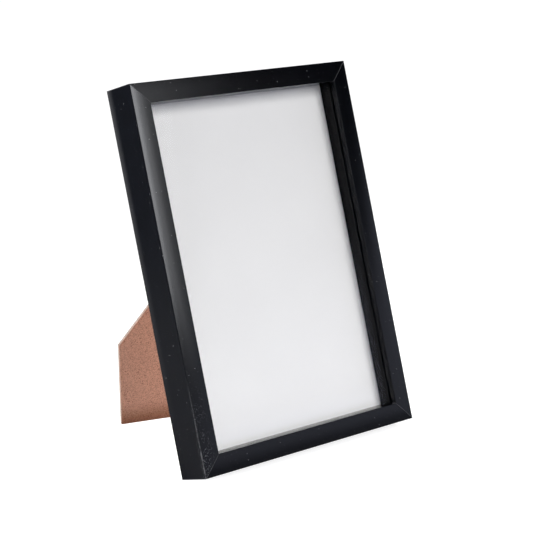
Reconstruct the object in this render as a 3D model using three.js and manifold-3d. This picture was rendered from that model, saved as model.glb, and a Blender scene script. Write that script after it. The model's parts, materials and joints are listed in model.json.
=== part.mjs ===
// A4 box frame. Four mitred mouldings hold glazing, spacers, an insert card and a back panel.
// Bendable steel tabs keep the panel in, and a strut leg on a slanted hinge props the frame up
// in portrait or in landscape. All sizes are in millimetres.
import * as THREE from 'three';
import { mergeVertices } from 'three/addons/utils/BufferGeometryUtils.js';
import Module from 'manifold-3d';

const wasm = await Module();
wasm.setup();

// Sheet size that the frame takes
const sheetWidth = 210;
const sheetHeight = 297;
const sheetPlay = 0.5;
const sheetCover = 5;

// Moulding
const faceWidth = 17;
const frameDepth = 33;
const lipThickness = 5;
const crownWidth = 13;
const crownDrop = 0.6;
const outerEdgeRadius = 0.7;
const sightEdgeRadius = 0.4;

// Layers behind the lip, front to back, and the gap between pieces that touch
const seatGap = 0.3;
const glazingThickness = 2;
const spacerDepth = 12.5;
const spacerThickness = 5;
const cardThickness = 0.6;
const panelThickness = 3;

// How the frame stands, and where the strut hinge sits on the panel, from the frame's bottom middle
const portraitLean = THREE.MathUtils.degToRad(20);
const landscapeLean = THREE.MathUtils.degToRad(15.5);
const strutOpening = THREE.MathUtils.degToRad(29.5);
const hingeSlant = THREE.MathUtils.degToRad(28);
const hingeAcross = 39;
const hingeUp = 238.4;

// Strut leg
const legThickness = 3;
const legTopWidth = 44;
const legTopRadius = 3;
const portraitFootLength = 78;
const landscapeFootLength = 77;

// Strut hinge
const hingeWidth = 40;
const leafLength = 22;
const leafThickness = 0.8;
const leafCornerRadius = 4;
const pinRadius = 1;
const pinPlay = 0.3;
const knuckleGap = 0.4;
const panelKnuckleLength = 7;
const stopFingerWidth = 6;
const knuckleMouth = THREE.MathUtils.degToRad(20);
const pinEndReach = 0.3;

// Rivets of the hinge
const rivetShankRadius = 1.5;
const rivetHeadRadius = 3;
const rivetHeadHeight = 1;
const rivetFlareRadius = 2.4;
const rivetFlareDepth = 1;
const rivetSpread = 20;
const rivetFromPin = 12;

// Bendable tabs that hold the panel
const tabWidth = 6;
const tabThickness = 0.6;
const tabReach = 8;
const tabRootDepth = 5;
const tabFromCorner = 50;
const tabBendOffset = 0.6;
const tabTipRadius = 2;

// Corner nails driven into the mitres from the back
const cornerNailLeg = 5;
const cornerNailThickness = 0.8;
const cornerNailHeight = 8;
const cornerNailInset = 4.5;

// Sawtooth hangers and their nails
const hangerLength = 44;
const hangerHeight = 8;
const hangerThickness = 0.8;
const hangerRise = 1.2;
const hangerEndLength = 7;
const hangerRampLength = 2.5;
const hangerCornerRadius = 2;
const toothPitch = 2.8;
const toothDepth = 1.5;
const hangerNailFromEnd = 3.5;
const nailShankRadius = 0.6;
const nailHeadRadius = 1.7;
const nailHeadHeight = 0.6;
const nailLength = 9;

// Facets
const arcSteps = 6;
const roundSteps = 24;

// Sizes that follow from the ones above
const frameWidth = sheetWidth - 2 * sheetCover + 2 * faceWidth;
const frameHeight = sheetHeight - 2 * sheetCover + 2 * faceWidth;
const wallThickness = faceWidth - sheetCover - sheetPlay;
const glazingFront = lipThickness + seatGap;
const spacerFront = glazingFront + glazingThickness + seatGap;
const cardFront = spacerFront + spacerDepth + seatGap;
const panelFront = cardFront + cardThickness + seatGap;
const panelBack = panelFront + panelThickness;
const knuckleRadius = pinRadius + pinPlay + leafThickness;
const pinDepth = panelBack + seatGap + knuckleRadius;
const leafInner = pinRadius + pinPlay;
const legOuterFace = leafInner - seatGap;
const legInnerFace = legOuterFace - legThickness;
const tabMiddle = panelBack + seatGap + tabThickness / 2;

// Materials
const colours = {
  wrap: { color: 0x1b1d20, roughness: 0.42, metalness: 0 },
  spacerWrap: { color: 0x1e2023, roughness: 0.5, metalness: 0 },
  glass: { color: 0xf4f7f8, roughness: 0.05, metalness: 0 },
  card: { color: 0xe4e4e5, roughness: 0.85, metalness: 0 },
  fibreboard: { color: 0xa87c69, roughness: 0.8, metalness: 0 },
  steel: { color: 0xb9bcc0, roughness: 0.35, metalness: 1 },
  darkSteel: { color: 0x55575b, roughness: 0.5, metalness: 1 },
};

// A named mesh with a material of its own
function piece(name, geometry, finish) {
  const mesh = new THREE.Mesh(geometry, new THREE.MeshStandardMaterial(colours[finish]));
  mesh.name = name;
  return mesh;
}

// A closed geometry as a solid that can be joined and cut
function solidOf(geometry) {
  const bare = geometry.clone();
  bare.deleteAttribute('normal');
  bare.deleteAttribute('uv');
  const merged = mergeVertices(bare);
  return new wasm.Manifold(new wasm.Mesh({
    numProp: 3,
    vertProperties: merged.attributes.position.array,
    triVerts: Uint32Array.from(merged.index.array),
  }));
}

// A joined or cut solid back as a geometry
function geometryOf(solid) {
  const mesh = solid.getMesh();
  const geometry = new THREE.BufferGeometry();
  geometry.setAttribute('position', new THREE.BufferAttribute(mesh.vertProperties, 3));
  geometry.setIndex(new THREE.BufferAttribute(mesh.triVerts, 1));
  geometry.computeVertexNormals();
  return geometry;
}

const join = (solids) => solids.reduce((whole, next) => whole.add(next));
const cut = (body, cutters) => cutters.reduce((rest, cutter) => rest.subtract(cutter), body);

// A flat outline in x and z, with its near face at one depth y and its far face at another
function plate(outline, near, far) {
  const geometry = new THREE.ExtrudeGeometry(outline, {
    depth: far - near,
    bevelEnabled: false,
    curveSegments: arcSteps,
  });
  geometry.rotateX(Math.PI / 2);
  return geometry.translate(0, far, 0);
}

// A profile in z and y run along x, centred on a middle
function run(profile, length, middle = 0) {
  const geometry = new THREE.ExtrudeGeometry(profile, {
    depth: length,
    bevelEnabled: false,
    curveSegments: arcSteps,
  });
  geometry.translate(0, 0, -length / 2);
  geometry.rotateY(-Math.PI / 2);
  return geometry.translate(middle, 0, 0);
}

// A box given by its lowest and highest corners
function block(low, high) {
  const size = high.map((value, axis) => value - low[axis]);
  const middle = high.map((value, axis) => (value + low[axis]) / 2);
  return new THREE.BoxGeometry(...size).translate(...middle);
}

// A rectangle in x and z with rounded corners
function roundedRectangle(left, right, bottom, top, radius) {
  const outline = new THREE.Shape();
  outline.moveTo(left + radius, bottom);
  outline.absarc(right - radius, bottom + radius, radius, -Math.PI / 2, 0, false);
  outline.absarc(right - radius, top - radius, radius, 0, Math.PI / 2, false);
  outline.absarc(left + radius, top - radius, radius, Math.PI / 2, Math.PI, false);
  outline.absarc(left + radius, bottom + radius, radius, Math.PI, 1.5 * Math.PI, false);
  return outline;
}

// A closed outline through corner points, given as [x, z]
const polygon = (corners) => new THREE.Shape(corners.map(([x, z]) => new THREE.Vector2(x, z)));

// Places of the four mouldings. In each one's own axes x runs along it, y goes back from the face
// and z goes in from the outer edge, with the origin in the middle of the outer edge.
const sides = {
  bottom: { length: frameWidth, turn: 0, at: [0, 0, 0] },
  top: { length: frameWidth, turn: Math.PI, at: [0, 0, frameHeight] },
  left: { length: frameHeight, turn: Math.PI / 2, at: [-frameWidth / 2, 0, frameHeight / 2] },
  right: { length: frameHeight, turn: -Math.PI / 2, at: [frameWidth / 2, 0, frameHeight / 2] },
};

function onSide(side, content) {
  const group = new THREE.Group();
  group.position.set(...sides[side].at);
  group.rotation.y = sides[side].turn;
  group.add(content);
  return group;
}

// The tabs on each side, by their place along it. The lower left stays free for the folded leg.
const nearEnd = (side) => sides[side].length / 2 - tabFromCorner;
const tabs = [
  { place: 'bottom_middle', side: 'bottom', along: 0 },
  { place: 'bottom_right', side: 'bottom', along: nearEnd('bottom') },
  { place: 'top_left', side: 'top', along: nearEnd('top') },
  { place: 'top_right', side: 'top', along: -nearEnd('top') },
  { place: 'left_middle', side: 'left', along: 0 },
  { place: 'left_top', side: 'left', along: -nearEnd('left') },
  { place: 'right_bottom', side: 'right', along: -nearEnd('right') },
  { place: 'right_middle', side: 'right', along: 0 },
  { place: 'right_top', side: 'right', along: nearEnd('right') },
];

// Moulding: one profile with a crowned face and a rebate, mitred at both ends
function mouldingProfile() {
  const profile = new THREE.Shape();
  const outerCentre = [outerEdgeRadius, crownDrop + outerEdgeRadius];
  const sightCentre = [faceWidth - sightEdgeRadius, sightEdgeRadius];
  profile.moveTo(0, frameDepth);
  profile.lineTo(0, crownDrop + outerEdgeRadius);
  profile.absarc(...outerCentre, outerEdgeRadius, Math.PI, 1.5 * Math.PI, false);
  profile.quadraticCurveTo((outerEdgeRadius + crownWidth) / 2, 0, crownWidth, 0);
  profile.absarc(...sightCentre, sightEdgeRadius, 1.5 * Math.PI, 2 * Math.PI, false);
  profile.lineTo(faceWidth, lipThickness);
  profile.lineTo(wallThickness, lipThickness);
  profile.lineTo(wallThickness, frameDepth);
  profile.closePath();
  return profile;
}

function mitredPlan(length) {
  const inner = length / 2 - faceWidth;
  return polygon([[-length / 2, 0], [length / 2, 0], [inner, faceWidth], [-inner, faceWidth]]);
}

// A corner nail is a strip bent square, with its bend on the mitre
function cornerNailOutline(spare) {
  const inner = cornerNailThickness + spare;
  const end = cornerNailLeg + spare;
  return polygon([
    [spare, -spare], [spare, end], [-inner, end],
    [-inner, inner], [-end, inner], [-end, -spare],
  ]);
}

function cornerNail(end, length, spare = 0) {
  const head = spare > 0 ? spare : -seatGap;
  const nail = plate(cornerNailOutline(spare), -cornerNailHeight - seatGap - spare, head);
  if (end < 0) {
    nail.rotateY(Math.PI / 2);
  }
  return nail.translate(end * (length / 2 - cornerNailInset), frameDepth, cornerNailInset);
}

function tabSlot(along) {
  const half = tabWidth / 2 + seatGap;
  const halfThick = tabThickness / 2 + seatGap;
  const low = [along - half, tabMiddle - halfThick, wallThickness - tabRootDepth - seatGap];
  const high = [along + half, tabMiddle + halfThick, wallThickness + seatGap];
  return block(low, high);
}

// Places of the nails in a hanger, along the moulding
const hangerNails = [-1, 1].map((end) => end * (hangerLength / 2 - hangerNailFromEnd));

function nailHole(along) {
  const radius = nailShankRadius + seatGap;
  const mouth = frameDepth + 2 * seatGap + hangerThickness;
  const hole = new THREE.CylinderGeometry(radius, radius, nailLength, roundSteps);
  return hole.translate(along, mouth - nailLength / 2, wallThickness / 2);
}

function moulding(name, side, hasHanger) {
  const { length } = sides[side];
  const body = solidOf(run(mouldingProfile(), length))
    .intersect(solidOf(plate(mitredPlan(length), -seatGap, frameDepth + seatGap)));
  const cutters = [-1, 1].map((end) => cornerNail(end, length, seatGap));
  tabs.filter((tab) => tab.side === side).forEach((tab) => cutters.push(tabSlot(tab.along)));
  if (hasHanger) {
    hangerNails.forEach((along) => cutters.push(nailHole(along)));
  }
  return onSide(side, piece(name, geometryOf(cut(body, cutters.map(solidOf))), 'wrap'));
}

// Glazing, spacers, card and back panel, stacked in the rebate
function sheet(name, front, thickness, finish, holes = []) {
  const bottom = (frameHeight - sheetHeight) / 2;
  const low = [-sheetWidth / 2, front, bottom];
  const high = [sheetWidth / 2, front + thickness, bottom + sheetHeight];
  return piece(name, geometryOf(cut(solidOf(block(low, high)), holes)), finish);
}

function spacer(name, side) {
  const outer = wallThickness + seatGap;
  const stopsAtNeighbour = side === 'top' || side === 'bottom';
  const ends = outer + (stopsAtNeighbour ? spacerThickness + seatGap : 0);
  const half = sides[side].length / 2 - ends;
  const low = [-half, spacerFront, outer];
  const high = [half, spacerFront + spacerDepth, outer + spacerThickness];
  return onSide(side, piece(name, block(low, high), 'spacerWrap'));
}

// Rivet: domed head, straight shank and a flared end that is spread into the board.
// It runs along y, with the head's underside at one depth and the flared end at another.
function rivetProfile(headUnder, flaredEnd, spare) {
  const outline = new THREE.Path();
  const length = headUnder - flaredEnd;
  outline.moveTo(0, -length - spare);
  outline.lineTo(rivetFlareRadius + spare, -length - spare);
  outline.lineTo(rivetShankRadius + spare, rivetFlareDepth - length);
  outline.lineTo(rivetShankRadius + spare, 0);
  if (spare === 0) {
    outline.lineTo(rivetHeadRadius, 0);
    outline.quadraticCurveTo(rivetHeadRadius, rivetHeadHeight, 0, rivetHeadHeight);
  } else {
    outline.lineTo(0, 0);
  }
  return outline.getPoints(arcSteps);
}

function rivet(across, along, headUnder, flaredEnd, spare = 0) {
  const body = new THREE.LatheGeometry(rivetProfile(headUnder, flaredEnd, spare), roundSteps);
  return body.translate(across, headUnder, along);
}

const rivetsAcross = [-rivetSpread / 2, rivetSpread / 2];

function panelRivets(spare) {
  return rivetsAcross.map((across) => (
    rivet(across, rivetFromPin, seatGap - leafInner, panelFront - pinDepth, spare)));
}

function legRivets(spare) {
  return rivetsAcross.map((across) => (
    rivet(across, -rivetFromPin, knuckleRadius + seatGap, legInnerFace, spare)));
}

// Strut hinge. Its own axes have x along the pin, y going back and z up the panel, and the leg
// hangs below the pin.
const legKnuckleLength = hingeWidth - 2 * (stopFingerWidth + panelKnuckleLength + 2 * knuckleGap);
const knuckleClear = knuckleRadius + knuckleGap;

// A knuckle as the panel leaf has it: the leaf's edge rolled round the pin
function knuckle(length, middle) {
  const profile = new THREE.Shape();
  profile.moveTo(knuckleClear, -knuckleRadius);
  profile.lineTo(0, -knuckleRadius);
  profile.absarc(0, 0, knuckleRadius, -Math.PI / 2, -knuckleMouth, true);
  profile.absarc(0, 0, leafInner, -knuckleMouth, -Math.PI / 2, false);
  profile.lineTo(knuckleClear, -leafInner);
  profile.closePath();
  return run(profile, length, middle);
}

// The flat of a leaf, clear of the knuckles and rounded at its far corners
function leafFlat() {
  const cornerAcross = hingeWidth / 2 - leafCornerRadius;
  const cornerUp = leafLength - leafCornerRadius;
  const outline = new THREE.Shape();
  outline.moveTo(-hingeWidth / 2, knuckleClear);
  outline.lineTo(hingeWidth / 2, knuckleClear);
  outline.absarc(cornerAcross, cornerUp, leafCornerRadius, 0, Math.PI / 2, false);
  outline.absarc(-cornerAcross, cornerUp, leafCornerRadius, Math.PI / 2, Math.PI, false);
  outline.closePath();
  return plate(outline, -knuckleRadius, -leafInner);
}

// With the leg open, two fingers of the leg leaf bear on the panel leaf and set the opening
const stopReach = (leafInner * Math.cos(strutOpening) + leafInner - seatGap) / Math.sin(strutOpening);

function stopFinger(end) {
  const inner = hingeWidth / 2 - stopFingerWidth;
  const low = [inner, leafInner, -knuckleClear - seatGap];
  const finger = block(low, [hingeWidth / 2, knuckleRadius, stopReach]);
  return end > 0 ? finger : finger.translate(-hingeWidth / 2 - inner, 0, 0);
}

function panelLeaf() {
  const middle = (legKnuckleLength + panelKnuckleLength) / 2 + knuckleGap;
  const knuckles = [-middle, middle].map((at) => knuckle(panelKnuckleLength, at));
  const leaf = join([leafFlat(), ...knuckles].map(solidOf));
  return piece('hinge_panel_leaf', geometryOf(cut(leaf, panelRivets(seatGap).map(solidOf))), 'steel');
}

// The leg leaf is a panel leaf turned over the pin, with one knuckle and its stop fingers
function legLeaf() {
  const turned = [leafFlat(), knuckle(legKnuckleLength, 0)].map((part) => part.rotateX(Math.PI));
  const leaf = join([...turned, stopFinger(-1), stopFinger(1)].map(solidOf));
  return piece('hinge_leg_leaf', geometryOf(cut(leaf, legRivets(seatGap).map(solidOf))), 'steel');
}

function hingePin() {
  const length = legKnuckleLength + 2 * (knuckleGap + panelKnuckleLength + pinEndReach);
  const rod = new THREE.CylinderGeometry(pinRadius, pinRadius, length, roundSteps);
  return piece('hinge_pin', rod.rotateZ(Math.PI / 2), 'darkSteel');
}

// Where the strut hinge and the open leg sit in the frame
const strutHinge = new THREE.Group();
strutHinge.name = 'strut_hinge';
strutHinge.position.set(hingeAcross, pinDepth, hingeUp);
strutHinge.rotation.y = hingeSlant;
const openLeg = new THREE.Group();
openLeg.rotation.x = strutOpening;
strutHinge.add(openLeg);
strutHinge.updateMatrixWorld(true);

// The two surfaces that the frame can stand on, one under its bottom edge and one under its left edge
const portraitGround = new THREE.Plane().setFromNormalAndCoplanarPoint(
  new THREE.Vector3(0, -Math.sin(portraitLean), Math.cos(portraitLean)),
  new THREE.Vector3(0, frameDepth, 0),
);
const landscapeGround = new THREE.Plane().setFromNormalAndCoplanarPoint(
  new THREE.Vector3(Math.cos(landscapeLean), -Math.sin(landscapeLean), 0),
  new THREE.Vector3(-frameWidth / 2, frameDepth, 0),
);

// A ground's height over a point of the leg's inner face is at + alongX x + alongZ z
function heightOnLeg(ground) {
  const height = (x, z) => {
    const point = new THREE.Vector3(x, legInnerFace, z);
    return ground.distanceToPoint(point.applyMatrix4(openLeg.matrixWorld));
  };
  const at = height(0, 0);
  return { at, alongX: height(1, 0) - at, alongZ: height(0, 1) - at };
}

// The foot is cut along both grounds, so that the leg meets either one with a whole edge
function legOutline() {
  const under = heightOnLeg(portraitGround);
  const beside = heightOnLeg(landscapeGround);
  const spread = under.alongX * beside.alongZ - under.alongZ * beside.alongX;
  const tip = new THREE.Vector2(
    (under.alongZ * beside.at - under.at * beside.alongZ) / spread,
    (under.at * beside.alongX - under.alongX * beside.at) / spread,
  );
  const alongUnder = new THREE.Vector2(under.alongZ, -under.alongX).normalize();
  const alongBeside = new THREE.Vector2(-beside.alongZ, beside.alongX).normalize();
  const right = tip.clone().addScaledVector(alongUnder, portraitFootLength);
  const left = tip.clone().addScaledVector(alongBeside, landscapeFootLength);
  const cornerAcross = legTopWidth / 2 - legTopRadius;
  const cornerUp = -knuckleClear - legTopRadius;
  const outline = new THREE.Shape();
  outline.moveTo(tip.x, tip.y);
  outline.lineTo(right.x, right.y);
  outline.absarc(cornerAcross, cornerUp, legTopRadius, 0, Math.PI / 2, false);
  outline.absarc(-cornerAcross, cornerUp, legTopRadius, Math.PI / 2, Math.PI, false);
  outline.lineTo(left.x, left.y);
  outline.closePath();
  return outline;
}

function strutLeg() {
  const board = solidOf(plate(legOutline(), legInnerFace, legOuterFace));
  return piece('strut_leg', geometryOf(cut(board, legRivets(seatGap).map(solidOf))), 'fibreboard');
}

// Tab: a flat root in the moulding's slot and a flap that bends at the wall
function tabRoot({ place, side, along }) {
  const half = tabWidth / 2;
  const low = [along - half, tabMiddle - tabThickness / 2, wallThickness - tabRootDepth];
  const strip = block(low, [along + half, tabMiddle + tabThickness / 2, wallThickness]);
  return onSide(side, piece(`tab_root_${place}`, strip, 'steel'));
}

function tabFlap({ place, side, along }) {
  const tipAcross = tabWidth / 2 - tabTipRadius;
  const tipUp = tabReach - tabTipRadius;
  const outline = new THREE.Shape();
  outline.moveTo(-tabWidth / 2, 0);
  outline.lineTo(tabWidth / 2, 0);
  outline.absarc(tipAcross, tipUp, tabTipRadius, 0, Math.PI / 2, false);
  outline.absarc(-tipAcross, tipUp, tabTipRadius, Math.PI / 2, Math.PI, false);
  outline.closePath();
  const bend = new THREE.Group();
  bend.name = `bend_${place}`;
  bend.position.set(along, tabMiddle, wallThickness + tabBendOffset);
  bend.add(piece(`tab_${place}`, plate(outline, -tabThickness / 2, tabThickness / 2), 'steel'));
  return onSide(side, bend);
}

// Sawtooth hanger: a strip raised in its middle, with teeth along its inner edge
function hanger(name, side) {
  const half = hangerLength / 2;
  const low = (wallThickness - hangerHeight) / 2;
  const high = low + hangerHeight;
  const raised = half - hangerEndLength;
  const flat = raised - hangerRampLength;
  const back = frameDepth + seatGap;
  const underside = [
    [-half, back], [-raised, back], [-flat, back + hangerRise],
    [flat, back + hangerRise], [raised, back], [half, back],
  ];
  const outside = underside.map(([x, y]) => [x, y + hangerThickness]).reverse();
  const bar = new THREE.ExtrudeGeometry(polygon([...underside, ...outside]), {
    depth: hangerHeight,
    bevelEnabled: false,
  });
  bar.translate(0, 0, low);
  const blank = roundedRectangle(-half, half, low, high, hangerCornerRadius);
  const above = back + hangerRise + 2 * hangerThickness;
  const toothCount = Math.floor(2 * flat / toothPitch);
  const firstTooth = -toothCount * toothPitch / 2;
  const notches = Array.from({ length: toothCount }, (_, index) => {
    const left = firstTooth + index * toothPitch;
    const root = [left + toothPitch / 2, high - toothDepth];
    return plate(polygon([[left, high], root, [left + toothPitch, high]]), frameDepth, above);
  });
  const body = solidOf(bar).intersect(solidOf(plate(blank, frameDepth, above)));
  const cutters = [...notches, ...hangerNails.map(nailHole)].map(solidOf);
  return onSide(side, piece(name, geometryOf(cut(body, cutters)), 'steel'));
}

function hangerNail(name, side, along) {
  const headUnder = frameDepth + 2 * seatGap + hangerThickness;
  const outline = new THREE.Path();
  outline.moveTo(0, headUnder - nailLength + nailShankRadius);
  outline.lineTo(nailShankRadius, headUnder - nailLength + 2 * nailShankRadius);
  outline.lineTo(nailShankRadius, headUnder);
  outline.lineTo(nailHeadRadius, headUnder);
  outline.quadraticCurveTo(nailHeadRadius, headUnder + nailHeadHeight, 0, headUnder + nailHeadHeight);
  const nail = new THREE.LatheGeometry(outline.getPoints(arcSteps), roundSteps);
  return onSide(side, piece(name, nail.translate(along, 0, wallThickness / 2), 'darkSteel'));
}

// The corner nails, each named by its corner and driven at one end of a rail
const cornerNails = [
  { name: 'corner_nail_bottom_left', side: 'bottom', end: -1 },
  { name: 'corner_nail_bottom_right', side: 'bottom', end: 1 },
  { name: 'corner_nail_top_left', side: 'top', end: 1 },
  { name: 'corner_nail_top_right', side: 'top', end: -1 },
];

// Assembly in the frame's own axes: x right, y back from the face, z up
const boxFrame = new THREE.Group();
boxFrame.add(
  moulding('bottom_rail', 'bottom', false),
  moulding('top_rail', 'top', true),
  moulding('left_stile', 'left', false),
  moulding('right_stile', 'right', true),
  ...cornerNails.map(({ name, side, end }) => (
    onSide(side, piece(name, cornerNail(end, sides[side].length), 'darkSteel')))),
  sheet('glazing', glazingFront, glazingThickness, 'glass'),
  spacer('spacer_bottom', 'bottom'),
  spacer('spacer_top', 'top'),
  spacer('spacer_left', 'left'),
  spacer('spacer_right', 'right'),
  sheet('insert_card', cardFront, cardThickness, 'card'),
  ...tabs.map(tabRoot),
  ...tabs.map(tabFlap),
  hanger('hanger_portrait', 'top'),
  hanger('hanger_landscape', 'right'),
  ...hangerNails.map((along, index) => hangerNail(`hanger_nail_portrait_${index + 1}`, 'top', along)),
  ...hangerNails.map((along, index) => hangerNail(`hanger_nail_landscape_${index + 1}`, 'right', along)),
);

// The panel is drilled for the rivets where the hinge sits
const panelHoles = panelRivets(seatGap).map((hole) => solidOf(hole.applyMatrix4(strutHinge.matrixWorld)));
boxFrame.add(sheet('back_panel', panelFront, panelThickness, 'fibreboard', panelHoles));

strutHinge.add(
  panelLeaf(),
  hingePin(),
  ...panelRivets().map((body, index) => piece(`panel_leaf_rivet_${index + 1}`, body, 'darkSteel')),
);
openLeg.add(
  strutLeg(),
  legLeaf(),
  ...legRivets().map((body, index) => piece(`leg_leaf_rivet_${index + 1}`, body, 'darkSteel')),
);
boxFrame.add(strutHinge);
boxFrame.rotation.x = -portraitLean;

// The object stands on the ground with the middle of its bounds at the origin
const boxFrameStanding = new THREE.Group();
boxFrameStanding.add(boxFrame);
const bounds = new THREE.Box3().setFromObject(boxFrameStanding, true);
boxFrame.position.y = -(bounds.min.y + bounds.max.y) / 2;
boxFrame.position.z = frameDepth * Math.sin(portraitLean);

export default boxFrameStanding;
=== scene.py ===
"""Looks of an A4 box frame that stands on a strut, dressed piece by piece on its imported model."""

import json
import math

import bmesh
import bpy
from mathutils import Matrix, Quaternion, Vector


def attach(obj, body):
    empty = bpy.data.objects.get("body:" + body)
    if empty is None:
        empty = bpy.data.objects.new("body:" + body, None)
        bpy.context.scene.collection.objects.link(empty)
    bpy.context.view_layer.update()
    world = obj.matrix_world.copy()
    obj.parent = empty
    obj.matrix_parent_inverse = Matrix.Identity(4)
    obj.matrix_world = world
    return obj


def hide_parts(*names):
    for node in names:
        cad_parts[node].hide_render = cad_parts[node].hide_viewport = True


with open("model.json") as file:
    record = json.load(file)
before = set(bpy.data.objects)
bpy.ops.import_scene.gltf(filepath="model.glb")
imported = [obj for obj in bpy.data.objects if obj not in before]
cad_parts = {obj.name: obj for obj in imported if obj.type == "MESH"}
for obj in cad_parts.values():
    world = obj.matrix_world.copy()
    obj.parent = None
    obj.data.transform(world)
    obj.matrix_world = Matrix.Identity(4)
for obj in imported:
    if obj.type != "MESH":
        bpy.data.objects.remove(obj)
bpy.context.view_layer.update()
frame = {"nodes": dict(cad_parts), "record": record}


# View: the camera stands left of the frame and a little above it, about 1.5 m away, behind a
# short telephoto lens. Its place and aim come from the frame's four front corners and its side.
camera_place = Vector((-0.93183, -1.07278, 0.55618))
camera_right = Vector((0.75628, -0.65328, 0.03557))
camera_up = Vector((0.15519, 0.23193, 0.96027))
lens_length = 115.68
sensor_width = 36.0

camera_data = bpy.data.cameras.new("view_camera")
camera_data.lens = lens_length
camera_data.sensor_width = sensor_width
camera_data.clip_start = 0.05
camera_data.clip_end = 60.0
camera = bpy.data.objects.new("view_camera", camera_data)
backward = camera_right.cross(camera_up).normalized()
upward = backward.cross(camera_right).normalized()
turn = Matrix((camera_right.normalized(), upward, backward)).transposed()
camera.matrix_world = Matrix.Translation(camera_place) @ turn.to_4x4()
bpy.context.scene.collection.objects.link(camera)
bpy.context.scene.camera = camera
bpy.context.scene.view_settings.view_transform = "Standard"


# Floor: a wide white table that runs out of the picture on every side. The camera sees it plain
# white, with the frame's soft shadow on it. It is mirrored only faintly, and its colour is darkened
# behind the frame as painted shade.
class Wire:
    """One output inside a node tree. Python's operators on it add Math nodes to that tree."""

    def __init__(self, tree, socket=None):
        self.tree = tree
        self.socket = socket

    def node(self, kind, settings=None, inputs=None, output=0):
        """A new node of one kind, set, then fed with values and wires. Gives one output."""
        made = self.tree.nodes.new("ShaderNode" + kind)
        for name, value in (settings or {}).items():
            setattr(made, name, value)
        for name, value in (inputs or {}).items():
            if isinstance(value, Wire):
                self.tree.links.new(value.socket, made.inputs[name])
            else:
                made.inputs[name].default_value = value
        return Wire(self.tree, made.outputs[output] if made.outputs else None)

    def also(self, output):
        """Another output of the node that this one comes from."""
        return Wire(self.tree, self.socket.node.outputs[output])

    def maths(self, operation, *values):
        return self.node("Math", {"operation": operation}, dict(enumerate(values)))

    def __add__(self, other):
        return self.maths("ADD", self, other)

    def __radd__(self, other):
        return self.maths("ADD", other, self)

    def __sub__(self, other):
        return self.maths("SUBTRACT", self, other)

    def __rsub__(self, other):
        return self.maths("SUBTRACT", other, self)

    def __mul__(self, other):
        return self.maths("MULTIPLY", self, other)

    def __rmul__(self, other):
        return self.maths("MULTIPLY", other, self)

    def __or__(self, other):
        """Either of two masks: the larger one at each point."""
        return self.maths("MAXIMUM", self, other)

    def __ror__(self, other):
        return self.maths("MAXIMUM", other, self)

    def __lt__(self, other):
        return self.maths("LESS_THAN", self, other)

    def __gt__(self, other):
        return self.maths("GREATER_THAN", self, other)

    def __abs__(self):
        return self.maths("ABSOLUTE", self)


def new_finish(name):
    """An empty material and the start of its node tree."""
    finish = bpy.data.materials.new(name)
    finish.use_nodes = True
    finish.node_tree.nodes.clear()
    return finish, Wire(finish.node_tree)


def ease(value, low, high, bottom=0.0, top=1.0):
    """From bottom to top as value goes from low to high, with soft ends."""
    return value.node("MapRange", {"interpolation_type": "SMOOTHSTEP"}, {
        "Value": value, "From Min": low, "From Max": high, "To Min": bottom, "To Max": top,
    })


floor_reach = 14.0
floor_white = (0.42, 0.42, 0.42, 1.0)
floor_painted_shade = (0.06, 0.06, 0.06, 1.0)
dim_from = 0.20
dim_to = 0.60
plain_white = (1.0, 1.0, 1.0, 1.0)
lift_near = 0.80
lift_far = 0.99
lift_from = 0.25
lift_to = 0.75
mirrored_share = 0.1

floor_finish, start = new_finish("white_table")
table_place = start.node("TexCoord", output="Object")
table_back = start.node("SeparateXYZ", inputs={"Vector": table_place}, output="Y")
# Painted shade: the table's colour darkens behind the frame
table_paint = start.node("MixShader", inputs={
    0: ease(table_back, dim_from, dim_to),
    1: start.node("BsdfDiffuse", inputs={"Color": floor_white, "Roughness": 1.0}),
    2: start.node("BsdfDiffuse", inputs={"Color": floor_painted_shade, "Roughness": 1.0}),
})
outward = start.node("VectorMath", {"operation": "LENGTH"}, {0: table_place}, "Value")
lift = ease(outward, lift_from, lift_to, lift_near, lift_far)
rays = start.node("LightPath")
mirrored = rays.also("Is Glossy Ray") | rays.also("Is Transmission Ray")
shown = rays.also("Is Camera Ray") | mirrored * mirrored_share
glow = start.node("MixShader", inputs={
    0: shown * lift,
    2: start.node("Emission", inputs={"Color": plain_white, "Strength": 1.0}),
})
start.node("OutputMaterial", inputs={
    "Surface": start.node("AddShader", inputs={0: table_paint, 1: glow}),
})

floor_signs = [(-1, -1), (1, -1), (1, 1), (-1, 1)]
floor_corners = [(x * floor_reach, y * floor_reach, 0.0) for x, y in floor_signs]
floor_mesh = bpy.data.meshes.new("table_top")
floor_mesh.from_pydata(floor_corners, [], [(0, 1, 2, 3)])
floor_mesh.materials.append(floor_finish)
table_top = bpy.data.objects.new("table_top", floor_mesh)
bpy.context.scene.collection.objects.link(table_top)


# Lamps: three slim boxes at the front right that only glossy faces mirror, a broad box high in
# front for the sheet, one low at the left for the strut, one behind, and a room whose walls are
# lit along their foot and dark above.
room_light = (0.90, 0.94, 1.15, 1.0)
room_least = 0.01
rear_wall_level = 0.65

room = bpy.data.worlds.new("room")
bpy.context.scene.world = room
room.use_nodes = True
room.node_tree.nodes.clear()
room_start = Wire(room.node_tree)
heading = room_start.node("SeparateXYZ", inputs={"Vector": room_start.node("TexCoord")})


def wall_step(low, high, bottom, top):
    """A soft step in the room's brightness between two heights in degrees."""
    heights = [math.sin(math.radians(height)) for height in (low, high)]
    return ease(heading.also("Z"), *heights, bottom, top)


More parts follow.
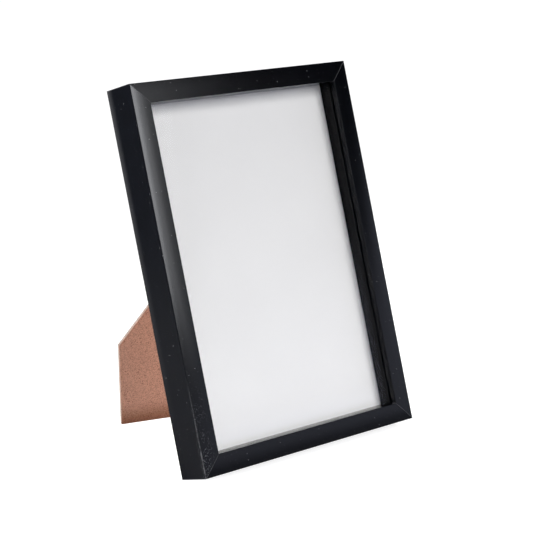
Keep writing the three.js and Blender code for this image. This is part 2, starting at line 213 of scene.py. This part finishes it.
wall_foot = wall_step(2.0, 9.0, 0.55, 1.8) * wall_step(11.0, 15.5, 1.0, 0.0)
lit_room = room_start.node("Background", inputs={
    "Color": room_light, "Strength": wall_foot + room_least,
})
room_rays = room_start.node("LightPath")
to_rear = ease(heading.also("Y"), 0.25, 0.60, 0.0, rear_wall_level)
rear_wall = to_rear * wall_step(8.0, 26.0, 0.0, 1.0) * room_rays.also("Is Glossy Ray")
pale_room = room_start.node("Background", inputs={
    "Color": plain_white, "Strength": room_rays.also("Is Camera Ray") | rear_wall,
})
room_start.node("OutputWorld", inputs={
    "Surface": room_start.node("AddShader", inputs={0: lit_room, 1: pale_room}),
})


middle_of_frame = Vector((0.0, 0.0, 0.16))


def soft_box(name, bearing, height, distance, width, tall, power, roll=0.0):
    """A lamp at a bearing from straight in front, towards +X, and a height, both in degrees."""
    data = bpy.data.lights.new(name, "AREA")
    data.shape = "RECTANGLE"
    data.size = width
    data.size_y = tall
    data.energy = power
    lamp = bpy.data.objects.new(name, data)
    across = math.radians(bearing)
    up = math.radians(height)
    along_floor = math.cos(up)
    reach = Vector((
        math.sin(across) * along_floor, -math.cos(across) * along_floor, math.sin(up),
    ))
    lamp.location = middle_of_frame + distance * reach
    aimed = (-reach).to_track_quat("-Z", "Y") @ Quaternion((0.0, 0.0, 1.0), math.radians(roll))
    lamp.rotation_euler = aimed.to_euler()
    bpy.context.scene.collection.objects.link(lamp)
    return lamp


gleam_tint = (0.94, 0.955, 1.0)
gleams = (
    soft_box("gleam_left", bearing=24.0, height=24.5, distance=4.0,
             width=0.62, tall=1.02, power=54.0, roll=-20.0),
    soft_box("gleam_middle", bearing=31.4, height=23.6, distance=4.0,
             width=0.38, tall=1.16, power=8.0, roll=-20.0),
    soft_box("gleam_right", bearing=35.6, height=24.4, distance=4.0,
             width=0.54, tall=1.56, power=13.0, roll=-16.0),
)
for gleam in gleams:
    gleam.data.color = gleam_tint
    gleam.visible_diffuse = False
    gleam.visible_transmission = False
fills = (
    soft_box("front_box", bearing=11.0, height=36.0, distance=4.0,
             width=2.0, tall=1.9, power=128.0),
    soft_box("left_box", bearing=-97.0, height=9.0, distance=1.9,
             width=0.6, tall=0.9, power=116.0),
)
for fill in fills:
    fill.visible_glossy = False
    fill.visible_transmission = False
rear_box = soft_box("rear_box", bearing=170.0, height=24.0, distance=2.0,
                    width=1.4, tall=1.0, power=30.0)
rear_box.visible_glossy = False


# Mouldings: four lengths of fibreboard moulding, wrapped in matt black foil, mitred and glued
# into a box. The foil is turned over the back edge, and the rebate behind the lip is left bare.
# A painted sheen greys the outer back edges, and the foot of the left moulding is chipped and
# rubbed.
millimetres = 1000.0
lean = math.radians(20.0)
face_foot = Vector((0.0, -0.081725, 0.011286))
frame_width = 0.234
frame_height = 0.321
foil_edge = 0.00022
# The foil is laid out in millimetres, and these three are too
frame_depth = 33.0
wall_thickness = 11.5
lip_thickness = 5.0
frame_axes = Matrix.Translation(face_foot) @ Matrix.Rotation(-lean, 4, "X")
middle_left = Matrix.Translation((-frame_width / 2, 0.0, frame_height / 2))
middle_right = Matrix.Translation((frame_width / 2, 0.0, frame_height / 2))
middle_top = Matrix.Translation((0.0, 0.0, frame_height))
moulding_axes = {
    "bottom_rail": Matrix.Identity(4),
    "top_rail": middle_top @ Matrix.Rotation(math.pi, 4, "Y"),
    "left_stile": middle_left @ Matrix.Rotation(math.pi / 2, 4, "Y"),
    "right_stile": middle_right @ Matrix.Rotation(-math.pi / 2, 4, "Y"),
}
black_foil = (0.0007, 0.0009, 0.0016, 1.0)
cut_line = (0.16, 0.16, 0.165, 1.0)
bare_fibre = (0.36, 0.235, 0.15, 1.0)
dark_fibre = (0.20, 0.115, 0.07, 1.0)
dust_and_sheen_grey = (0.52, 0.52, 0.54, 1.0)


def place_on(start, axes):
    """Millimetres along a piece's own axes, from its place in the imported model."""
    move, spin, _ = axes.inverted().decompose()
    return start.node("Mapping", {"vector_type": "POINT"}, {
        "Vector": start.node("TexCoord", output="Object"),
        "Scale": (millimetres, millimetres, millimetres),
        "Rotation": tuple(spin.to_euler("XYZ")),
        "Location": tuple(move * millimetres),
    })


def times(first, second):
    """Two places or two colours multiplied part by part: a stretched place, or a tint."""
    return first.node("VectorMath", {"operation": "MULTIPLY"}, {0: first, 1: second})


def grain(place, scale, detail=2.0, roughness=0.5):
    """Soft noise from 0 to 1 with its size in lumps a millimetre."""
    return place.node("TexNoise", inputs={
        "Vector": place, "Scale": scale, "Detail": detail, "Roughness": roughness,
    })


def blend(share, first, second):
    """One colour where share is 0 and another where it is 1."""
    # A Mix node gives its colour sockets the names that its number ones have, so these go by place
    return share.node("Mix", {"data_type": "RGBA"}, {0: share, 6: first, 7: second}, output=2)


def shade_of(colour, level):
    """The same colour with its light multiplied by a number."""
    return (*(level * part for part in colour[:3]), 1.0)


def bumps(height, strength, depth):
    """Fine relief for a surface's normal, with its depth in metres."""
    return height.node("Bump", inputs={
        "Strength": strength, "Distance": depth, "Height": height,
    })


def specks(place, cell, radius, share):
    """Round dots of one radius, in millimetres, in a share of the cells."""
    dots = place.node("TexVoronoi", inputs={
        "Vector": place, "Scale": 1.0 / cell, "Randomness": 1.0,
    })
    chosen = dots.node("SeparateXYZ", inputs={"Vector": dots.also("Color")})
    return ease(dots.also("Distance"), radius / cell, 0.5 * radius / cell) * (chosen < share)


def foil_wrapped(name, axes, half_length, is_left):
    """Black foil over fibreboard, dusty, with a painted sheen along its outer back edge, pale mitres
    and bare fibre where the foil ends.
    """
    finish, start = new_finish(name)
    place = place_on(start, axes)
    along = start.node("SeparateXYZ", inputs={"Vector": place})
    depth = along.also("Y")
    inward = along.also("Z")
    outer_face = ease(inward, 1.2, 0.4)

    mottle = grain(place, 0.05, 3.0)
    streak = grain(times(place, (0.06, 1.0, 1.0)), 1.4, 3.0, 0.6)
    tooth = grain(place, 3.2, 2.0)
    coarse_dust = specks(place, cell=3.6, radius=0.30, share=0.32)
    fine_dust = specks(place, cell=1.7, radius=0.13, share=0.35)
    dust = coarse_dust | fine_dust * 0.6

    # The mitre's cut edge shows as a thin pale line, since the foil ends there
    to_mitre = abs(abs(along) - (half_length - inward)) * math.sqrt(0.5)
    mitre = ease(to_mitre, 0.42, 0.12) * (grain(place, 0.35, 3.0) * 0.9)
    turned_over = 4.2 + grain(place, 0.25, 3.0) * 0.7
    raw_back = (depth > frame_depth - 0.08) * (inward > turned_over)
    rebate = (depth > lip_thickness + 0.3) * (inward > wall_thickness - 0.05)
    bare = raw_back | rebate

    # Painted sheen greys the outer face along its back edge, more toward one end of each length
    painted_back_sheen = ease(depth, 24.5, 34.5) * outer_face * ease(along, 160.0, -160.0) * 0.036
    marks_and_sheen = dust * 0.6 | painted_back_sheen
    if is_left:
        scuffed_from = half_length - 95.0
        scuffed_fully = half_length - 14.0
        foot = ease(along, scuffed_from, scuffed_fully)
        front = ease(inward, 16.0, 6.0) * ease(depth, 6.0, 1.0)
        patch = ease(grain(times(place, (0.5, 1.0, 1.0)), 0.16, 3.0, 0.6), 0.38, 0.54)
        small_chips = specks(place, cell=0.9, radius=0.20, share=0.9)
        large_chips = specks(place, cell=1.7, radius=0.30, share=0.8)
        chipped = (small_chips | large_chips) * patch * front * 0.38
        front_edge = ease(inward + depth, 1.5, 0.9)
        worn = front_edge * ease(grain(place, 0.4, 3.0, 0.7), 0.30, 0.62) * 0.11
        marks_and_sheen = marks_and_sheen | (chipped | worn) * foot

    foil = blend(ease(mottle, 0.3, 0.7), black_foil, shade_of(black_foil, 1.35))
    dusted_and_sheened = blend(marks_and_sheen, foil, dust_and_sheen_grey)
    lined = blend(mitre * 0.6, dusted_and_sheened, cut_line)
    fibre = blend(ease(grain(place, 1.6, 4.0, 0.7), 0.56, 0.70), bare_fibre, dark_fibre)
    foil_rough = 0.115 + 0.03 * mottle + 0.03 * streak + 0.16 * outer_face * ease(depth, 0.6, 2.0)
    rough = foil_rough + (0.9 - foil_rough) * bare
    relief = 0.5 * tooth + 0.35 * streak + bare * grain(place, 1.2, 4.0) * 3.0
    surface = start.node("BsdfPrincipled", inputs={
        "Base Color": blend(bare, lined, fibre),
        "Roughness": rough + 0.3 * marks_and_sheen,
        "Specular IOR Level": 0.13,
        "Normal": bumps(relief, 0.22, 0.00006),
    })
    start.node("OutputMaterial", inputs={"Surface": surface})
    return finish


def eased(node, word, radius, steps=2):
    """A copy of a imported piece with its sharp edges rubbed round, which stands for that piece."""
    same_point = 1e-6
    flat_within = math.radians(0.4)
    sharp_above = math.radians(30.0)
    mesh = frame["nodes"][node].data.copy()
    mesh.materials.clear()
    shape = bmesh.new()
    shape.from_mesh(mesh)
    bmesh.ops.remove_doubles(shape, verts=shape.verts, dist=same_point)
    bmesh.ops.dissolve_limit(shape, angle_limit=flat_within, verts=shape.verts, edges=shape.edges)
    shape.to_mesh(mesh)
    shape.free()
    part = bpy.data.objects.new(f"{node}_{word}", mesh)
    bpy.context.scene.collection.objects.link(part)
    rounding = part.modifiers.new("rounding", "BEVEL")
    rounding.width = radius
    rounding.segments = steps
    rounding.limit_method = "ANGLE"
    rounding.angle_limit = sharp_above
    flats = part.modifiers.new("flats", "WEIGHTED_NORMAL")
    flats.keep_sharp = True
    mesh.shade_smooth()
    rounded = part.evaluated_get(bpy.context.evaluated_depsgraph_get())
    made = bpy.data.meshes.new_from_object(rounded)
    part.modifiers.clear()
    part.data = made
    made.name = part.name
    for body, members in frame["record"]["behaviour"]["bodies"].items():
        if node in members:
            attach(part, body)
    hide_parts(node)
    return part


def coat(piece, *finishes):
    """Gives a piece its finishes in place of any that it had."""
    piece.data.materials.clear()
    for finish in finishes:
        piece.data.materials.append(finish)


for node, own_axes in moulding_axes.items():
    moulding = eased(node, "moulding", foil_edge)
    whole_length = millimetres * (frame_height if "stile" in node else frame_width)
    coat(moulding, foil_wrapped(
        f"foil_{node}", frame_axes @ own_axes, 0.5 * whole_length, is_left=node == "left_stile",
    ))


# Corner nails: bent strips of zinc-plated steel, driven across each mitre from the back and left
# just proud, their edges dulled by the driver.
tarnish_brown = (0.34, 0.27, 0.19, 1.0)
sheet_edge = 0.00012


def zinc_plate(name, colour, smooth, rough, tarnish):
    """Zinc plating: faint crystals, cloudy dull patches and a share of brown tarnish."""
    finish, start = new_finish(name)
    place = place_on(start, Matrix.Identity(4))
    cloud = grain(place, 0.22, 3.0)
    fine = grain(place, 5.0, 3.0)
    crystal = start.node("TexVoronoi", inputs={
        "Vector": place, "Scale": 0.45, "Randomness": 1.0,
    })
    tone = start.node("SeparateXYZ", inputs={"Vector": crystal.also("Color")})
    clouded = blend(tone * 0.35 + cloud * 0.3, colour, shade_of(colour, 0.72))
    surface = start.node("BsdfPrincipled", inputs={
        "Base Color": blend(ease(cloud, 0.56, 0.74) * tarnish, clouded, tarnish_brown),
        "Metallic": 1.0,
        "Roughness": ease(cloud * 0.7 + fine * 0.3, 0.3, 0.7, smooth, rough),
        "Normal": bumps(fine, 0.25, 0.00003),
    })
    start.node("OutputMaterial", inputs={"Surface": surface})
    return finish


dull_zinc = zinc_plate(
    "dull_zinc", (0.42, 0.42, 0.41, 1.0), smooth=0.36, rough=0.55, tarnish=0.5,
)
for end in ("bottom_left", "bottom_right", "top_left", "top_right"):
    nail = eased(f"corner_nail_{end}", "strip", sheet_edge)
    coat(nail, dull_zinc)


# Glazing: one sheet of clear float glass, 2 mm thick, laid against the lip. Lamps shine through
# it, and it mirrors the room faintly.
glass_clear = (0.998, 0.998, 0.998, 1.0)
glass_through = (0.973, 0.973, 0.974, 1.0)

clear_glass, start = new_finish("clear_glass")
smear = ease(grain(place_on(start, frame_axes), 0.012, 2.0), 0.35, 0.75)
pane = start.node("BsdfPrincipled", inputs={
    "Base Color": glass_clear,
    "Roughness": 0.012 + 0.02 * smear,
    "IOR": 1.12,
    "Transmission Weight": 1.0,
    "Specular IOR Level": 0.07,
})
open_way = start.node("BsdfTransparent", inputs={"Color": glass_through})
pane_rays = start.node("LightPath")
lighting = pane_rays.also("Is Shadow Ray") | pane_rays.also("Is Diffuse Ray")
start.node("OutputMaterial", inputs={
    "Surface": start.node("MixShader", inputs={0: lighting, 1: pane, 2: open_way}),
})
coat(frame["nodes"]["glazing"], clear_glass)


# Spacers: four black-wrapped fibreboard strips on edge, which hold the glass against the lip and
# the card away from it, so that things can be shown between the two.
wrap_black = (0.0018, 0.0020, 0.0026, 1.0)
wrap_paler = (0.0034, 0.0036, 0.0042, 1.0)
strip_edge = 0.00025


def spacer_wrap(name, axes):
    """Smooth black paper wrap with long faint streaks and a little dust."""
    finish, start = new_finish(name)
    place = place_on(start, axes)
    fleck = grain(place, 1.8, 3.0)
    streak = grain(times(place, (0.05, 1.0, 1.0)), 0.9, 3.0)
    wrapped = blend(ease(streak, 0.3, 0.7), wrap_black, wrap_paler)
    dust = specks(place, cell=2.6, radius=0.16, share=0.12)
    surface = start.node("BsdfPrincipled", inputs={
        "Base Color": blend(dust * 0.6, wrapped, dust_and_sheen_grey),
        "Roughness": 0.08 + 0.05 * fleck,
        "Specular IOR Level": 0.08,
        "Normal": bumps(fleck, 0.05, 0.00004),
    })
    start.node("OutputMaterial", inputs={"Surface": surface})
    return finish


for edge, beside in (
    ("bottom", "bottom_rail"), ("top", "top_rail"), ("left", "left_stile"), ("right", "right_stile"),
):
    strip = eased(f"spacer_{edge}", "strip", strip_edge)
    coat(strip, spacer_wrap(f"spacer_wrap_{edge}", frame_axes @ moulding_axes[beside]))


# Insert card: a plain sheet of white card, A4, that lies on the back panel and shows behind the
# glass until something is mounted in its place. Its colour carries painted shade toward its head and
# painted light along its foot.
card_length = 297.0
card_low = (0.90, 0.892, 0.872, 1.0)
card_painted_shade_high = (0.71, 0.703, 0.687, 1.0)
card_painted_light_foot = (0.965, 0.960, 0.945, 1.0)
card_fibre = (0.68, 0.68, 0.68, 1.0)

plain_card, start = new_finish("plain_card")
card_place = place_on(start, frame_axes)
pulp = grain(card_place, 2.4, 4.0, 0.6)
card_height = start.node("SeparateXYZ", inputs={"Vector": card_place}, output="Z")
# Painted shade: the sheet's colour darkens toward its head, over a slow random tone
tone_and_painted_shade = grain(card_place, 0.008, 2.0) * 0.3 + card_height * (0.7 / card_length)
card_with_painted_shade = blend(ease(tone_and_painted_shade, 0.0, 1.0), card_low, card_painted_shade_high)
# Painted light: the sheet's colour is paler along its foot
painted_light_foot = blend(ease(card_height, 40.0, 17.0), card_with_painted_shade, card_painted_light_foot)
card_surface = start.node("BsdfPrincipled", inputs={
    "Base Color": blend(ease(pulp, 0.62, 0.74) * 0.25, painted_light_foot, card_fibre),
    "Roughness": 0.82 + 0.1 * pulp,
    "Specular IOR Level": 0.3,
    "Normal": bumps(pulp, 0.2, 0.00004),
})
start.node("OutputMaterial", inputs={"Surface": card_surface})
coat(frame["nodes"]["insert_card"], plain_card)


# Back panel: 3 mm medium-density fibreboard, sawn to the rebate and left raw. Its pressed faces
# are smooth and pinkish brown with dark fibres, and its sawn edges are duller and furry.
unshaded = (1.0, 1.0, 1.0, 1.0)
edge_painted_shade = (0.80, 0.80, 0.80, 1.0)
foot_painted_shade = (0.46, 0.37, 0.30, 1.0)


def fibreboard(name, colours, dots, fur, shift=(0.0, 0.0, 0.0), painted_shade=False):
    """Pressed wood fibre: two browns, dark dots of some strength, and a nap fur metres deep."""
    first_colour, second_colour, dot_colour = colours
    finish, start = new_finish(name)
    place = place_on(start, Matrix.Translation(shift))
    cloud = grain(place, 0.03, 3.0)
    fibre = grain(times(place, (1.0, 0.55, 1.0)), 1.5, 5.0, 0.68)
    lumps = grain(place, 0.85, 3.0, 0.6)
    fleck = (ease(fibre, 0.58, 0.70) | ease(lumps, 0.52, 0.62)) * dots
    pale = ease(grain(times(place, (0.6, 1.0, 1.0)), 0.8, 4.0, 0.7), 0.54, 0.74) * 0.5
    base = blend(ease(cloud, 0.32, 0.68), first_colour, second_colour)
    felted = blend(ease(lumps, 0.52, 0.38), base, shade_of(first_colour, 0.64))
    flecked = blend(fleck, felted, dot_colour)
    colour = blend(pale, flecked, shade_of(first_colour, 1.28))
    # Painted shade darkens the free edge of the board and its foot
    if painted_shade:
        across = start.node("SeparateXYZ", inputs={"Vector": place})
        above = across.also("Z")
        colour = times(colour, blend(ease(across, -40.0, -92.0), unshaded, edge_painted_shade))
        colour = times(colour, blend(ease(above, 22.0, -1.0), unshaded, foot_painted_shade))
    surface = start.node("BsdfPrincipled", inputs={
        "Base Color": colour,
        "Roughness": 0.74 + 0.16 * fibre,
        "Specular IOR Level": 0.25,
        "Normal": bumps(fibre + 0.4 * grain(place, 4.5, 2.0), 0.35, fur),
    })
    start.node("OutputMaterial", inputs={"Surface": surface})
    return finish


pressed_browns = ((0.500, 0.270, 0.190, 1.0), (0.545, 0.294, 0.198, 1.0), (0.20, 0.095, 0.062, 1.0))
sawn_browns = ((0.225, 0.175, 0.148, 1.0), (0.195, 0.150, 0.125, 1.0), (0.12, 0.075, 0.055, 1.0))
pressed_face = fibreboard("pressed_face", pressed_browns, dots=0.55, fur=0.00006)
sawn_edge = fibreboard("sawn_edge", sawn_browns, dots=0.7, fur=0.00016, shift=(0.3, 0.1, 0.2))


def raw_board(node, radius, face_finish):
    """A board with its pressed faces and its sawn edges finished each in their own way."""
    board = eased(node, "board", radius)
    coat(board, face_finish, sawn_edge)
    nearly_flat = 0.95
    widest = max(board.data.polygons, key=lambda face: face.area).normal.copy()
    for face in board.data.polygons:
        face.material_index = 0 if abs(face.normal.dot(widest)) > nearly_flat else 1


raw_board("back_panel", 0.0003, pressed_face)


# Tabs: nine soft steel flexible points, pushed into the mouldings and bent down over the panel by
# hand. The root stays in the wood, and the blade shows.
bright_zinc = zinc_plate(
    "bright_zinc", (0.60, 0.61, 0.62, 1.0), smooth=0.24, rough=0.42, tarnish=0.18,
)
tab_roots = [name for name in frame["nodes"] if name.startswith("tab_root_")]
for root in sorted(tab_roots):
    for node, word in ((root, "shank"), (root.replace("tab_root_", "tab_"), "blade")):
        tab = eased(node, word, sheet_edge)
        coat(tab, bright_zinc)


# Hangers: two plates of sheet steel with a pressed sawtooth edge, one for each way up. Each is
# held to the raw back of a moulding by two panel nails.
for way in ("portrait", "landscape"):
    hanger = eased(f"hanger_{way}", "plate", sheet_edge)
    coat(hanger, bright_zinc)
    for number in (1, 2):
        nail = eased(f"hanger_nail_{way}_{number}", "nail", 0.00018, steps=3)
        coat(nail, dull_zinc)


# Strut hinge: two pressed leaves whose knuckles are rolled round one wire pin, riveted to the
# panel and to the strut. Two fingers on the strut's leaf bear on the other when it is open.
round_edge = 0.0002
for owner in ("panel", "leg"):
    leaf = eased(f"hinge_{owner}_leaf", "plate", sheet_edge)
    coat(leaf, bright_zinc)
pin = eased("hinge_pin", "wire", round_edge, steps=3)
coat(pin, dull_zinc)
for owner in ("panel", "leg"):
    for number in (1, 2):
        rivet = eased(f"{owner}_leaf_rivet_{number}", "rivet", round_edge, steps=3)
        coat(rivet, dull_zinc)


# Strut: a sawn board of the same raw fibreboard, cut to two feet so that the frame stands upright
# or on its side, and swung out from the panel on the hinge. Its foot and its free edge are darkened
# by painted shade.
strut_browns = ((0.700, 0.388, 0.278, 1.0), (0.750, 0.420, 0.296, 1.0), (0.27, 0.135, 0.092, 1.0))
strut_face = fibreboard("strut_face", strut_browns, dots=0.9, fur=0.00006, painted_shade=True)
raw_board("strut_leg", 0.00035, strut_face)
